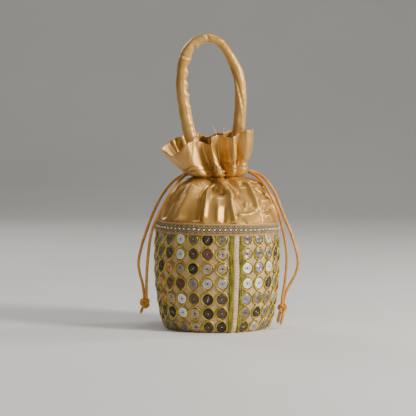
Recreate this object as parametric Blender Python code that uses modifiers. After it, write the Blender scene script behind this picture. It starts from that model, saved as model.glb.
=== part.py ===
"""Potli bag: a round mirror-work pouch with a gathered satin crown, two drawstrings and a stuffed carry loop.

Metres, +Z up. The origin is the bottom centre of the pouch, and its front faces -Y.
"""

import math

import bmesh
import bpy
from mathutils import Matrix, Vector

# ---------------------------------------------------------------- driving dimensions
MM = 0.001
GAP = 0.3 * MM              # clearance that touching pieces keep
BODY_H = 104.5 * MM         # height of the stiff pouch
SHELL_T = 1.8 * MM          # quilted outer cloth and its backing
LINING_T = 0.8 * MM
CROWN_T = 1.2 * MM          # doubled satin
NECK_R = 26.2 * MM          # outside of the gathered neck
NECK_Z = (151.0 * MM, 161.0 * MM)
RIM_A, RIM_B = 46.0 * MM, 30.0 * MM   # half width and half depth of the ruffle's rim
RIM_SHIFT = -10.0 * MM
RIM_Z, RIM_TILT = 187.5 * MM, 9.5 * MM
RIM_WAVES, RIM_WAVE_H = 7, 3.2 * MM
CORD_D = 3.0 * MM
CHANNEL_R = 28.7 * MM       # centre line of the cords in the casing
EXIT_HALF = math.radians(14.0)        # half width of each side opening of the casing
HANDLE_R = 5.6 * MM
MIRROR_D = 9.4 * MM
MIRROR_COLUMNS = 26
MIRROR_FIRST, MIRROR_STEP = 28.5, 13.44   # degrees round from the front towards +X
MIRROR_ROWS = [90.9, 78.0, 64.0, 49.0, 34.0, 20.0, 6.9]
SEAM_AT = 17.9              # degrees, centre of the plain seam strip
TRIM_Z = (98.4 * MM, 105.6 * MM)

# outside of the pouch: height and radius in mm, from the top rim down to the flat base
BODY_PROFILE = [
    (104.5, 59.0), (97.0, 59.7), (84.0, 60.6), (68.0, 60.9), (52.0, 60.4), (37.0, 59.0),
    (20.0, 56.4), (9.0, 54.2), (3.6, 52.6), (1.0, 50.6), (0.0, 48.4),
]
# outside of the gathered crown: height and radius in mm, from the trim up to the neck
CROWN_PROFILE = [
    (104.9, 59.4), (111.5, 58.9), (119.5, 56.7), (128.0, 53.0), (136.0, 47.8), (142.6, 40.8),
    (147.0, 33.0), (149.6, 27.6), (152.5, 26.2), (160.8, 26.2),
]

# drawstring routes: x, y, z in mm from the casing's side opening down to the knot
LEFT_OUTER = [
    (-31.2, 3.0, 153.4), (-36.0, 3.2, 151.2), (-45.0, 3.0, 144.8), (-55.4, 1.0, 131.4), (-63.8, -2.0, 114.4),
    (-70.2, -4.0, 97.4), (-75.4, -5.0, 81.2), (-78.4, -5.5, 65.5), (-77.0, -6.5, 54.2), (-74.4, -7.5, 44.6),
    (-73.0, -9.0, 35.0), (-73.0, -9.0, 31.8),
]
LEFT_INNER = [
    (-31.2, -3.0, 152.8), (-35.2, -9.0, 149.6), (-42.0, -17.5, 141.6), (-51.6, -22.0, 126.0), (-61.0, -22.0, 107.6),
    (-65.6, -19.0, 93.6), (-68.2, -16.0, 76.0), (-69.8, -13.5, 57.1), (-70.4, -12.0, 44.5), (-70.4, -12.0, 36.0),
    (-70.2, -12.0, 31.6),
]
RIGHT_OUTER = [
    (31.2, 3.0, 156.6), (38.0, 4.0, 155.0), (46.5, 3.0, 149.2), (53.0, 1.0, 140.6), (58.0, -1.0, 131.6),
    (66.9, -4.0, 111.6), (73.0, -6.0, 97.3), (77.4, -7.0, 84.0), (80.2, -8.0, 72.8), (80.7, -9.0, 63.6),
    (78.4, -9.5, 54.4), (73.6, -10.0, 45.3), (69.2, -10.0, 37.0), (67.2, -10.2, 30.0), (66.6, -10.4, 25.6),
]
RIGHT_INNER = [
    (31.2, -3.0, 156.0), (35.5, -7.0, 154.0), (41.4, -11.5, 149.0), (47.0, -14.0, 141.0), (52.6, -15.0, 131.6),
    (58.7, -16.0, 119.6), (62.3, -16.5, 108.6), (65.4, -16.5, 98.0), (68.0, -16.0, 86.0), (69.4, -15.5, 72.8),
    (68.8, -15.0, 58.5), (67.0, -14.5, 43.0), (65.0, -14.0, 31.0), (64.4, -14.0, 25.8),
]
LEFT_KNOT, LEFT_KNOT_R = (-71.6, -10.4, 25.4), (5.4, 5.0, 5.9)
RIGHT_KNOT, RIGHT_KNOT_R = (65.4, -12.2, 20.4), (4.9, 4.7, 4.9)
LEFT_TAIL = [(-74.2, -11.5, 19.2), (-75.2, -12.0, 17.4), (-75.8, -12.4, 15.0)]
RIGHT_TAIL_A = [(62.9, -12.2, 15.6), (61.6, -12.6, 12.0), (60.9, -13.2, 6.2)]
RIGHT_TAIL_B = [(66.8, -14.4, 15.4), (65.6, -15.4, 11.0), (64.6, -16.4, 5.2)]

# carry loop: x and z in mm, from its end inside the neck, over the top and down again
HANDLE_ROUTE = [
    (-16.8, 138.0), (-17.0, 152.0), (-19.6, 170.0), (-26.5, 190.5), (-31.0, 212.0), (-34.2, 231.0), (-35.0, 247.0),
    (-33.6, 264.0), (-29.6, 275.6), (-23.0, 284.0), (-15.0, 288.2), (-7.0, 288.6), (0.5, 286.2), (7.6, 279.5),
    (14.0, 269.0), (19.2, 258.6), (22.6, 247.0), (23.4, 231.5), (23.2, 215.0), (21.2, 196.0), (18.2, 175.0),
    (16.8, 154.0), (16.8, 138.0),
]


# ---------------------------------------------------------------- helpers
for old in list(bpy.data.objects):
    bpy.data.objects.remove(old, do_unlink=True)

bag = bpy.data.collections.new("potli_bag")
bpy.context.scene.collection.children.link(bag)

root = bpy.data.objects.new("bag_origin", None)
bag.objects.link(root)


def material(name, colour, roughness, metallic=0.0):
    mat = bpy.data.materials.new(name)
    mat.use_nodes = True
    bsdf = mat.node_tree.nodes["Principled BSDF"]
    bsdf.inputs["Base Color"].default_value = (*colour, 1.0)
    bsdf.inputs["Roughness"].default_value = roughness
    bsdf.inputs["Metallic"].default_value = metallic
    return mat


MAT = {
    "satin": material("gold_satin", (0.58, 0.37, 0.15), 0.32),
    "body": material("ribbed_silk", (0.54, 0.40, 0.28), 0.6),
    "lining": material("cotton_lining", (0.45, 0.30, 0.17), 0.85),
    "board": material("grey_board", (0.42, 0.38, 0.33), 0.9),
    "cord": material("rat_tail_cord", (0.60, 0.24, 0.04), 0.38),
    "lace": material("woven_lace", (0.30, 0.18, 0.09), 0.6),
    "piping": material("twisted_piping", (0.60, 0.38, 0.21), 0.5),
    "mirror": material("mirror_disc", (0.50, 0.46, 0.40), 0.2, 0.9),
    "zari": material("gold_zari", (0.42, 0.34, 0.06), 0.4, 0.4),
    "strip": material("seam_cloth", (0.66, 0.50, 0.34), 0.65),
}


def add_object(name, data, mat):
    ob = bpy.data.objects.new(name, data)
    bag.objects.link(ob)
    ob.parent = root
    if mat is not None and not data.materials:
        data.materials.append(mat)
    return ob


def profile_mesh(name, points):
    """An open chain of edges in the XZ plane, from (height, radius) pairs in mm."""
    bm = bmesh.new()
    verts = [bm.verts.new((r * MM, 0.0, z * MM)) for z, r in points]
    for a, b in zip(verts, verts[1:]):
        bm.edges.new((a, b))
    me = bpy.data.meshes.new(name)
    bm.to_mesh(me)
    bm.free()
    return me


def add_screw(ob, steps, angle=2.0 * math.pi):
    screw = ob.modifiers.new("turn", "SCREW")
    screw.axis = "Z"
    screw.angle = angle
    screw.steps = steps
    screw.render_steps = steps
    screw.use_merge_vertices = angle > 6.28
    screw.merge_threshold = 0.00001
    screw.use_smooth_shade = True
    return screw


def add_thickness(ob, thickness, offset):
    solid = ob.modifiers.new("thickness", "SOLIDIFY")
    solid.thickness = thickness
    solid.offset = offset
    solid.use_even_offset = True
    return solid


def turned_sheet(name, points, thickness, offset, steps, mat, angle=2.0 * math.pi, start=0.0):
    """A turned cloth wall. start is in degrees round from the front towards +X."""
    ob = add_object(name, profile_mesh(name, points), mat)
    add_screw(ob, steps, angle)
    add_thickness(ob, thickness, offset)
    ob.rotation_euler = (0.0, 0.0, math.radians(start - 90.0))
    return ob


def catmull(points, per_span=24):
    """A smooth chain through the given points."""
    pts = [Vector(p) for p in points]
    pts = [2.0 * pts[0] - pts[1]] + pts + [2.0 * pts[-1] - pts[-2]]
    out = []
    for i in range(1, len(pts) - 2):
        p0, p1, p2, p3 = pts[i - 1:i + 3]
        for k in range(per_span):
            t = k / per_span
            out.append(0.5 * (2.0 * p1 + (p2 - p0) * t + (2.0 * p0 - 5.0 * p1 + 4.0 * p2 - p3) * t * t
                              + (3.0 * p1 - p0 - 3.0 * p2 + p3) * t ** 3))
    out.append(pts[-2].copy())
    return out


def even_points(points, spacing):
    """Points at an even spacing along a smooth chain through the route."""
    chain = catmull(points)
    lengths = [0.0]
    for a, b in zip(chain, chain[1:]):
        lengths.append(lengths[-1] + (b - a).length)
    count = max(2, round(lengths[-1] / spacing))
    out, j = [], 0
    for i in range(count + 1):
        want = lengths[-1] * i / count
        while j < len(lengths) - 2 and lengths[j + 1] < want:
            j += 1
        span = lengths[j + 1] - lengths[j]
        out.append(chain[j].lerp(chain[j + 1], (want - lengths[j]) / span if span else 0.0))
    return out


def tube(name, points, radius, mat, resolution=2):
    """A round tube on a chain of points in metres, with filled ends."""
    cu = bpy.data.curves.new(name, "CURVE")
    cu.dimensions = "3D"
    spline = cu.splines.new("POLY")
    spline.points.add(len(points) - 1)
    for p, q in zip(spline.points, points):
        p.co = (*q, 1.0)
    cu.bevel_depth = radius
    cu.bevel_resolution = resolution
    cu.use_fill_caps = True
    return add_object(name, cu, mat)


def route(points_mm, spacing):
    return even_points([tuple(c * MM for c in p) for p in points_mm], spacing)


def body_radius(z):
    """Outside radius of the pouch at a height, both in mm."""
    for (z1, r1), (z0, r0) in zip(BODY_PROFILE, BODY_PROFILE[1:]):
        if z0 <= z <= z1:
            return r0 + (r1 - r0) * (z - z0) / (z1 - z0)
    return BODY_PROFILE[0][1] if z > BODY_PROFILE[0][0] else BODY_PROFILE[-1][1]


def inset_profile(points, inset):
    return [(z, r - inset) for z, r in points]


# ---------------------------------------------------------------- pouch: outer cloth, board and lining
turned_sheet("body_shell", BODY_PROFILE + [(0.0, 0.0)], SHELL_T, -1.0, 48, MAT["body"])

board = turned_sheet("base_board", [(2.15, 46.0), (2.15, 0.0)], 1.4 * MM, -1.0, 32, MAT["board"])

LINING_PROFILE = [(103.4, 56.4), (84.0, 58.1), (60.0, 58.1), (36.0, 56.4), (14.0, 52.6), (6.4, 50.0), (4.0, 46.6), (4.0, 0.0)]
turned_sheet("lining", LINING_PROFILE, LINING_T, -1.0, 36, MAT["lining"])

# ---------------------------------------------------------------- crown: one gathered satin sheet
ROWS_UP = [(z, r) for z, r in CROWN_PROFILE] + [(165.5, 26.2), (170.5, 26.2), (176.0, 26.2), (182.0, 26.2), (187.5, 26.2)]
crown_form = bpy.data.objects.new("crown_form", profile_mesh("crown_form", list(reversed(ROWS_UP))))
bag.objects.link(crown_form)
add_screw(crown_form, 60)
bpy.context.view_layer.update()
crown_mesh = bpy.data.meshes.new_from_object(crown_form.evaluated_get(bpy.context.evaluated_depsgraph_get()))
bpy.data.objects.remove(crown_form, do_unlink=True)
crown_mesh.name = "crown"
RUFFLE_LOW, RUFFLE_TOP = CROWN_PROFILE[-1][0] * MM, ROWS_UP[-1][0] * MM
for v in crown_mesh.vertices:
    if v.co.z <= RUFFLE_LOW + 1e-5:
        continue
    up = (v.co.z - RUFFLE_LOW) / (RUFFLE_TOP - RUFFLE_LOW)
    ang = math.atan2(v.co.y, v.co.x)
    flare = up ** 1.25
    wave = RIM_WAVE_H * flare * math.cos(RIM_WAVES * ang + 0.6)
    rx = NECK_R + (RIM_A - NECK_R) * flare + wave
    ry = NECK_R + (RIM_B - NECK_R) * flare + wave
    rim = RIM_Z + RIM_TILT * math.cos(ang)
    v.co = (rx * math.cos(ang) + RIM_SHIFT * flare, ry * math.sin(ang), RUFFLE_LOW + (rim - RUFFLE_LOW) * up)
crown = add_object("crown", crown_mesh, MAT["satin"])
add_thickness(crown, CROWN_T, -1.0)

# ---------------------------------------------------------------- casing: two sewn channels with openings at the sides
CASING_PROFILE = [(160.6, 27.0), (160.6, 31.2), (149.9, 31.2), (149.9, 28.6)]
SWEEP = math.pi - 2.0 * EXIT_HALF
for name, start in (("casing_front", -90.0), ("casing_back", 90.0)):
    turned_sheet(name, CASING_PROFILE, 0.7 * MM, -1.0, 20, MAT["satin"], SWEEP, start + math.degrees(EXIT_HALF))

# ---------------------------------------------------------------- drawstrings
RING_HALF = math.radians(9.5)


def channel_arc(side, height_mm):
    """A cord's run round the neck, from one lip of its side opening round to the other."""
    middle = math.pi if side < 0 else 0.0
    pts = []
    for i in range(33):
        a = middle + RING_HALF + (2.0 * math.pi - 2.0 * RING_HALF) * i / 32
        pts.append(Vector((CHANNEL_R * math.cos(a), CHANNEL_R * math.sin(a), height_mm * MM)))
    return pts


tube("drawstring_left_channel", channel_arc(-1, 153.3), CORD_D / 2, MAT["cord"])
tube("drawstring_right_channel", channel_arc(1, 156.9), CORD_D / 2, MAT["cord"])
tube("drawstring_left_outer", route(LEFT_OUTER, 7.5 * MM), CORD_D / 2, MAT["cord"])
tube("drawstring_left_inner", route(LEFT_INNER, 7.5 * MM), CORD_D / 2, MAT["cord"])
tube("drawstring_right_outer", route(RIGHT_OUTER, 7.5 * MM), CORD_D / 2, MAT["cord"])
tube("drawstring_right_inner", route(RIGHT_INNER, 7.5 * MM), CORD_D / 2, MAT["cord"])
tube("knot_left_tail", route(LEFT_TAIL, 3.0 * MM), 1.3 * MM, MAT["cord"])
tube("knot_right_tail_a", route(RIGHT_TAIL_A, 4.0 * MM), 1.3 * MM, MAT["cord"])
tube("knot_right_tail_b", route(RIGHT_TAIL_B, 4.0 * MM), 1.3 * MM, MAT["cord"])


def knot(name, centre, radii):
    bm = bmesh.new()
    bmesh.ops.create_uvsphere(bm, u_segments=12, v_segments=8, radius=1.0)
    bmesh.ops.scale(bm, vec=[r * MM for r in radii], verts=bm.verts)
    bmesh.ops.recalc_face_normals(bm, faces=bm.faces)
    me = bpy.data.meshes.new(name)
    bm.to_mesh(me)
    bm.free()
    me.shade_smooth()
    ob = add_object(name, me, MAT["cord"])
    ob.location = [c * MM for c in centre]
    return ob


knot("knot_left", LEFT_KNOT, LEFT_KNOT_R)
knot("knot_right", RIGHT_KNOT, RIGHT_KNOT_R)

# ---------------------------------------------------------------- carry loop
tube("handle", route([(x, 0.0, z) for x, z in HANDLE_ROUTE], 9.5 * MM), HANDLE_R, MAT["satin"], 2)


# ---------------------------------------------------------------- trim: braid between two twisted pipings
def band(name, r_in, z0, z1, thickness, mat, steps):
    return turned_sheet(name, [(z1 / MM, r_in / MM), (z0 / MM, r_in / MM)], thickness, 1.0, steps, mat)


band("trim_band", 60.5 * MM, TRIM_Z[0], TRIM_Z[1], 1.3 * MM, MAT["lace"], 48)


def piping(name, height, major, minor):
    bpy.ops.mesh.primitive_torus_add(major_segments=40, minor_segments=6, major_radius=major, minor_radius=minor,
                                     location=(0.0, 0.0, height))
    ob = bpy.context.object
    ob.name = name
    ob.data.name = name
    for coll in list(ob.users_collection):
        coll.objects.unlink(ob)
    bag.objects.link(ob)
    ob.parent = root
    ob.data.materials.append(MAT["piping"])
    ob.data.shade_smooth()
    return ob


piping("trim_piping_bottom", TRIM_Z[0] - 1.3 * MM, 61.4 * MM, 0.95 * MM)
piping("trim_piping_top", TRIM_Z[1] + 1.3 * MM, 61.4 * MM, 0.95 * MM)


# ---------------------------------------------------------------- seam: a plain strip between two braided bands
def seam_piece(name, centre, width_mm, mat):
    heights = [95.6, 84.0, 68.0, 52.0, 37.0, 20.0, 9.0, 3.6, 1.4]
    half = math.degrees(width_mm / 2.0 / 60.0)
    pts = [(z, body_radius(z) + 0.35) for z in heights]
    return turned_sheet(name, pts, 0.8 * MM, 1.0, 3, mat, math.radians(2.0 * half), centre - half)


seam_piece("seam_strip", SEAM_AT, 5.2, MAT["strip"])
seam_piece("seam_band_left", SEAM_AT - 4.85, 3.5, MAT["zari"])
seam_piece("seam_band_right", SEAM_AT + 4.1, 2.7, MAT["zari"])


# ---------------------------------------------------------------- mirror work: strings of discs sewn down the pouch
def mirror_string_mesh():
    """Seven discs on one string, drawn as a sheet that narrows between discs, facing +X."""
    rows = []
    for z in MIRROR_ROWS:
        rows += [(z + 4.3, 2.5), (z, MIRROR_D / MM / 2.0), (z - 4.3, 2.5)]
    bm = bmesh.new()
    bmesh.ops.create_grid(bm, x_segments=1, y_segments=len(rows) - 1, size=0.5)
    for v in bm.verts:
        z, half = rows[round((0.5 - v.co.y) * (len(rows) - 1))]
        out = body_radius(z) + 0.55
        ang = half / out * (1.0 if v.co.x > 0 else -1.0)
        v.co = (out * MM * math.cos(ang), out * MM * math.sin(ang), z * MM)
    bmesh.ops.recalc_face_normals(bm, faces=bm.faces)
    if sum(f.normal.x for f in bm.faces) < 0:
        bmesh.ops.reverse_faces(bm, faces=bm.faces)
    me = bpy.data.meshes.new("mirror_string")
    bm.to_mesh(me)
    bm.free()
    return me


string_mesh = mirror_string_mesh()
for k in range(MIRROR_COLUMNS):
    ob = add_object("mirror_column_%02d" % (k + 1), string_mesh, MAT["mirror"])
    ob.rotation_euler = (0.0, 0.0, math.radians(MIRROR_FIRST + MIRROR_STEP * k - 90.0))
    add_thickness(ob, 1.1 * MM, 1.0)
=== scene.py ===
import math
import random

import bpy
import numpy as np
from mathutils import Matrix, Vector


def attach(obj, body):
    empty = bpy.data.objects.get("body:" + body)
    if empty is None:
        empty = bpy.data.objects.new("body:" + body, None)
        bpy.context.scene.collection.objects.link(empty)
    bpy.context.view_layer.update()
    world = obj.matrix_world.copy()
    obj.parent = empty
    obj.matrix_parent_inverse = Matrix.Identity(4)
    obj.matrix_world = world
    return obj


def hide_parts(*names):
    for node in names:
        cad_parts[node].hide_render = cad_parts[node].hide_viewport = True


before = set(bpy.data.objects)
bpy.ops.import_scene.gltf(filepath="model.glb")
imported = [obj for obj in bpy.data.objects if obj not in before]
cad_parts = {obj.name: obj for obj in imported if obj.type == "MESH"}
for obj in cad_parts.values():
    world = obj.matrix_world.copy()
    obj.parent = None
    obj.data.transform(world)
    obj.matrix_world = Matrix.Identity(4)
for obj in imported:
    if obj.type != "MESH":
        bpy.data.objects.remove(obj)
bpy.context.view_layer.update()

MM = 0.001
TAU = 2.0 * math.pi
rng = random.Random(7)
nrng = np.random.RandomState(11)


# ================================================================ camera, light, floor
def srgb(r, g, b):
    out = []
    for c in (r, g, b):
        c /= 255.0
        out.append(c / 12.92 if c <= 0.04045 else ((c + 0.055) / 1.055) ** 2.4)
    return tuple(out)


def look_at(ob, target):
    ob.rotation_euler = (Vector(target) - ob.location).to_track_quat("-Z", "Y").to_euler()


cam_data = bpy.data.cameras.new("camera")
cam = bpy.data.objects.new("camera", cam_data)
bpy.context.scene.collection.objects.link(cam)
cam.location = (-0.009, -2.06, 0.253)
look_at(cam, (-0.009, 0.0, 0.1195))
cam_data.lens = 178.7
cam_data.sensor_width = 36.0
cam_data.clip_end = 20.0
bpy.context.scene.camera = cam


def area_light(name, location, target, size, power, colour):
    data = bpy.data.lights.new(name, "AREA")
    data.shape = "RECTANGLE"
    data.size, data.size_y = size
    data.energy = power
    data.color = colour
    ob = bpy.data.objects.new(name, data)
    bpy.context.scene.collection.objects.link(ob)
    ob.location = location
    look_at(ob, target)
    return ob


area_light("key", (1.25, -0.72, 0.80), (0.0, 0.0, 0.13), (0.36, 0.60), 33.0, (1.0, 0.95, 0.87))
area_light("side", (1.2, 0.45, 0.60), (0.0, 0.0, 0.13), (0.25, 0.90), 9.0, (1.0, 0.95, 0.88))
area_light("front", (-0.15, -1.9, 0.75), (0.0, 0.0, 0.12), (0.9, 0.7), 5.4, (1.0, 0.98, 0.95)).data.specular_factor = 0.25
area_light("rim", (-0.75, 1.1, 0.9), (0.0, 0.0, 0.15), (0.6, 0.5), 6.0, (1.0, 0.97, 0.92))
area_light("top", (0.10, -0.2, 1.4), (0.0, 0.0, 0.1), (0.30, 0.30), 4.5, (1.0, 0.98, 0.95))

world = bpy.data.worlds.new("studio")
bpy.context.scene.world = world
world.use_nodes = True
world.node_tree.nodes["Background"].inputs["Color"].default_value = (0.80, 0.81, 0.84, 1.0)
world.node_tree.nodes["Background"].inputs["Strength"].default_value = 0.12


# ================================================================ materials
class Mat:
    """A small helper for node materials."""

    def __init__(self, name):
        self.mat = bpy.data.materials.new(name)
        self.mat.use_nodes = True
        self.nt = self.mat.node_tree
        self.bsdf = self.nt.nodes["Principled BSDF"]
        self.coord = self.nt.nodes.new("ShaderNodeTexCoord")

    def node(self, kind, **sets):
        n = self.nt.nodes.new(kind)
        for key, value in sets.items():
            setattr(n, key, value)
        return n

    def link(self, a, b):
        self.nt.links.new(a, b)

    def const(self, **values):
        for key, value in values.items():
            self.bsdf.inputs[key.replace("_", " ")].default_value = value

    def mapping(self, scale=(1, 1, 1), rotation=(0, 0, 0)):
        m = self.node("ShaderNodeMapping")
        m.inputs["Scale"].default_value = scale
        m.inputs["Rotation"].default_value = rotation
        self.link(self.coord.outputs["Object"], m.inputs["Vector"])
        return m.outputs["Vector"]

    def noise(self, scale, detail=3.0, rough=0.55, vector=None, distortion=0.0):
        n = self.node("ShaderNodeTexNoise")
        n.inputs["Scale"].default_value = scale
        n.inputs["Detail"].default_value = detail
        n.inputs["Roughness"].default_value = rough
        n.inputs["Distortion"].default_value = distortion
        self.link(vector or self.coord.outputs["Object"], n.inputs["Vector"])
        return n.outputs["Fac"]

    def wave(self, scale, axis="Z", distortion=0.0, vector=None, detail_scale=1.0):
        n = self.node("ShaderNodeTexWave", wave_type="BANDS", bands_direction=axis)
        n.inputs["Scale"].default_value = scale
        n.inputs["Distortion"].default_value = distortion
        n.inputs["Detail"].default_value = 1.0
        n.inputs["Detail Scale"].default_value = detail_scale
        self.link(vector or self.coord.outputs["Object"], n.inputs["Vector"])
        return n.outputs["Fac"]

    def ramp(self, fac, stops):
        n = self.node("ShaderNodeValToRGB")
        el = n.color_ramp.elements
        while len(el) < len(stops):
            el.new(0.5)
        for e, (pos, col) in zip(el, stops):
            e.position = pos
            e.color = (*col, 1.0)
        self.link(fac, n.inputs["Fac"])
        return n.outputs["Color"]

    def mix(self, fac, a, b, blend="MIX"):
        n = self.node("ShaderNodeMix", data_type="RGBA", blend_type=blend)
        for sock, val in ((n.inputs[0], fac), (n.inputs[6], a), (n.inputs[7], b)):
            if isinstance(val, (int, float)):
                sock.default_value = val
            elif isinstance(val, tuple):
                sock.default_value = (*val, 1.0)
            else:
                self.link(val, sock)
        return n.outputs[2]

    def math(self, op, a, b=0.0):
        n = self.node("ShaderNodeMath", operation=op)
        for sock, val in ((n.inputs[0], a), (n.inputs[1], b)):
            if isinstance(val, (int, float)):
                sock.default_value = val
            else:
                self.link(val, sock)
        return n.outputs[0]

    def colour(self, out):
        self.link(out, self.bsdf.inputs["Base Color"])

    def rough_range(self, fac, low, high):
        n = self.node("ShaderNodeMapRange")
        n.inputs["To Min"].default_value = low
        n.inputs["To Max"].default_value = high
        self.link(fac, n.inputs["Value"])
        self.link(n.outputs["Result"], self.bsdf.inputs["Roughness"])

    def bump(self, height, distance, strength=1.0, previous=None):
        n = self.node("ShaderNodeBump")
        n.inputs["Distance"].default_value = distance
        n.inputs["Strength"].default_value = strength
        self.link(height, n.inputs["Height"])
        if previous is not None:
            self.link(previous, n.inputs["Normal"])
        self.link(n.outputs["Normal"], self.bsdf.inputs["Normal"])
        return n.outputs["Normal"]


def satin_material(name, mid, deep, light, rough=(0.27, 0.40), metallic=0.42):
    m = Mat(name)
    big = m.noise(26.0, 2.0, 0.5)
    fine = m.noise(900.0, 2.0, 0.6, m.mapping((1.0, 1.0, 0.12)))
    tone = m.ramp(big, [(0.30, deep), (0.52, mid), (0.75, light)])
    thread = m.ramp(fine, [(0.25, (0.90, 0.89, 0.88)), (0.75, (1.0, 1.0, 1.0))])
    m.colour(m.mix(1.0, tone, thread, "MULTIPLY"))
    m.const(Metallic=metallic, Sheen_Weight=0.2, Sheen_Roughness=0.4, Specular_IOR_Level=0.6, Anisotropic=0.35)
    m.bsdf.inputs["Sheen Tint"].default_value = (*light, 1.0)
    m.rough_range(fine, *rough)
    crumple = m.noise(75.0, 3.0, 0.5)
    weave = m.wave(620.0, "Z", 0.6)
    first = m.bump(crumple, 0.0009, 0.30)
    m.bump(weave, 0.00005, 0.35, first)
    return m.mat


SATIN = satin_material("satin_gold", srgb(200, 154, 78), srgb(186, 138, 62), srgb(212, 170, 98), (0.29, 0.40), 0.50)
HANDLE_SATIN = satin_material("satin_gold_handle", srgb(202, 156, 82), srgb(190, 142, 68), srgb(214, 172, 102), (0.30, 0.42), 0.42)

m = Mat("cord_satin")
fine = m.wave(420.0, "DIAGONAL", 1.2)
big = m.noise(120.0, 2.0)
m.colour(m.mix(1.0, m.ramp(big, [(0.3, srgb(196, 128, 34)), (0.7, srgb(224, 162, 58))]),
               m.ramp(fine, [(0.2, (0.84, 0.80, 0.76)), (0.8, (1.0, 1.0, 1.0))]), "MULTIPLY"))
m.const(Metallic=0.12, Sheen_Weight=0.35, Sheen_Roughness=0.35)
m.rough_range(fine, 0.30, 0.42)
m.bump(fine, 0.00018, 0.7)
CORD = m.mat

m = Mat("ribbed_silk")
ribs = m.wave(430.0, "Z", 0.8)
warp = m.noise(1500.0, 1.0, 0.5, m.mapping((1.0, 1.0, 0.1)))
blotch = m.noise(60.0, 3.0)
base = m.ramp(blotch, [(0.3, srgb(204, 166, 118)), (0.7, srgb(228, 194, 146))])
rib_tone = m.ramp(ribs, [(0.15, (0.72, 0.69, 0.66)), (0.7, (1.0, 1.0, 1.0))])
m.colour(m.mix(0.9, base, rib_tone, "MULTIPLY"))
m.const(Metallic=0.05, Sheen_Weight=0.3, Sheen_Roughness=0.45)
m.rough_range(warp, 0.45, 0.65)
first = m.bump(ribs, 0.00028, 0.8)
m.bump(warp, 0.00008, 0.5, first)
BODY = m.mat

m = Mat("seam_cloth")
ribs = m.wave(430.0, "Z", 1.4)
blotch = m.noise(130.0, 3.0)
m.colour(m.mix(0.8, m.ramp(blotch, [(0.3, srgb(206, 170, 128)), (0.7, srgb(234, 206, 166))]),
               m.ramp(ribs, [(0.1, (0.78, 0.74, 0.70)), (0.8, (1.0, 1.0, 1.0))]), "MULTIPLY"))
m.const(Sheen_Weight=0.3, Sheen_Roughness=0.4)
m.rough_range(blotch, 0.42, 0.58)
m.bump(ribs, 0.0003, 0.6)
STRIP = m.mat

m = Mat("lining_cotton")
w1, w2 = m.wave(500.0, "Z", 0.5), m.wave(500.0, "X", 0.5)
w = m.math("ADD", w1, w2)
m.colour(m.ramp(m.noise(70.0), [(0.3, srgb(140, 100, 62)), (0.7, srgb(176, 132, 86))]))
m.rough_range(w, 0.75, 0.9)
m.bump(w, 0.0001, 0.6)
LINING = m.mat

m = Mat("grey_board")
fib = m.noise(400.0, 5.0, 0.7)
m.colour(m.ramp(fib, [(0.3, srgb(150, 142, 130)), (0.7, srgb(182, 174, 160))]))
m.rough_range(fib, 0.8, 0.95)
m.bump(fib, 0.0002, 0.5)
BOARD = m.mat

m = Mat("zari_gold")
fine = m.noise(900.0, 2.0, 0.6)
big = m.noise(90.0, 2.0)
# The multiply on fine noise darkens the cord in small patches: partly the twisted thread's texture and partly painted
# shade.
m.colour(m.mix(1.0, m.ramp(big, [(0.3, srgb(186, 162, 30)), (0.7, srgb(232, 212, 84))]),
               m.ramp(fine, [(0.28, (0.46, 0.41, 0.28)), (0.66, (1.0, 1.0, 1.0))]), "MULTIPLY"))
m.const(Metallic=0.72, Sheen_Weight=0.1)
m.rough_range(fine, 0.28, 0.48)
m.bump(fine, 0.00025, 0.7)
ZARI = m.mat

m = Mat("olive_braid")
fine = m.noise(1100.0, 2.0, 0.6)
big = m.noise(140.0, 2.0)
m.colour(m.mix(1.0, m.ramp(big, [(0.3, srgb(122, 114, 20)), (0.7, srgb(196, 182, 62))]),
               m.ramp(fine, [(0.30, (0.42, 0.40, 0.26)), (0.66, (1.0, 1.0, 1.0))]), "MULTIPLY"))
m.const(Metallic=0.3)
m.rough_range(fine, 0.4, 0.6)
m.bump(fine, 0.0002, 0.7)
BRAID = m.mat

m = Mat("lace_ground")
net = m.node("ShaderNodeTexVoronoi", feature="F1")
net.inputs["Scale"].default_value = 900.0
m.link(m.coord.outputs["Object"], net.inputs["Vector"])
m.colour(m.ramp(net.outputs["Distance"], [(0.25, srgb(88, 64, 38)), (0.6, srgb(48, 32, 16))]))
m.rough_range(net.outputs["Distance"], 0.5, 0.75)
m.bump(net.outputs["Distance"], 0.0003, 0.9)
LACE = m.mat

m = Mat("lace_thread")
fine = m.noise(1000.0, 2.0, 0.6)
m.colour(m.ramp(fine, [(0.3, srgb(148, 122, 72)), (0.7, srgb(190, 164, 110))]))
m.const(Metallic=0.25, Sheen_Weight=0.2)
m.rough_range(fine, 0.38, 0.56)
m.bump(fine, 0.0002, 0.6)
LACE_THREAD = m.mat

m = Mat("piping_thread")
fine = m.noise(1000.0, 2.0, 0.6)
m.colour(m.ramp(fine, [(0.3, srgb(176, 122, 70)), (0.7, srgb(206, 156, 104))]))
m.const(Metallic=0.2, Sheen_Weight=0.3)
m.rough_range(fine, 0.34, 0.5)
m.bump(fine, 0.0002, 0.6)
PIPING = m.mat

m = Mat("silver_stud")
fine = m.noise(700.0, 2.0)
m.colour(m.ramp(fine, [(0.3, srgb(226, 222, 214)), (0.7, srgb(252, 250, 244))]))
m.const(Metallic=0.6)
m.rough_range(fine, 0.22, 0.36)
m.bump(fine, 0.0001, 0.4)
STUD = m.mat

m = Mat("stitch_thread")
fine = m.noise(1200.0, 2.0)
m.colour(m.ramp(fine, [(0.3, srgb(196, 150, 84)), (0.7, srgb(232, 196, 132))]))
m.const(Sheen_Weight=0.2)
m.rough_range(fine, 0.45, 0.6)
m.bump(fine, 0.0001, 0.5)
STITCH = m.mat


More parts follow.
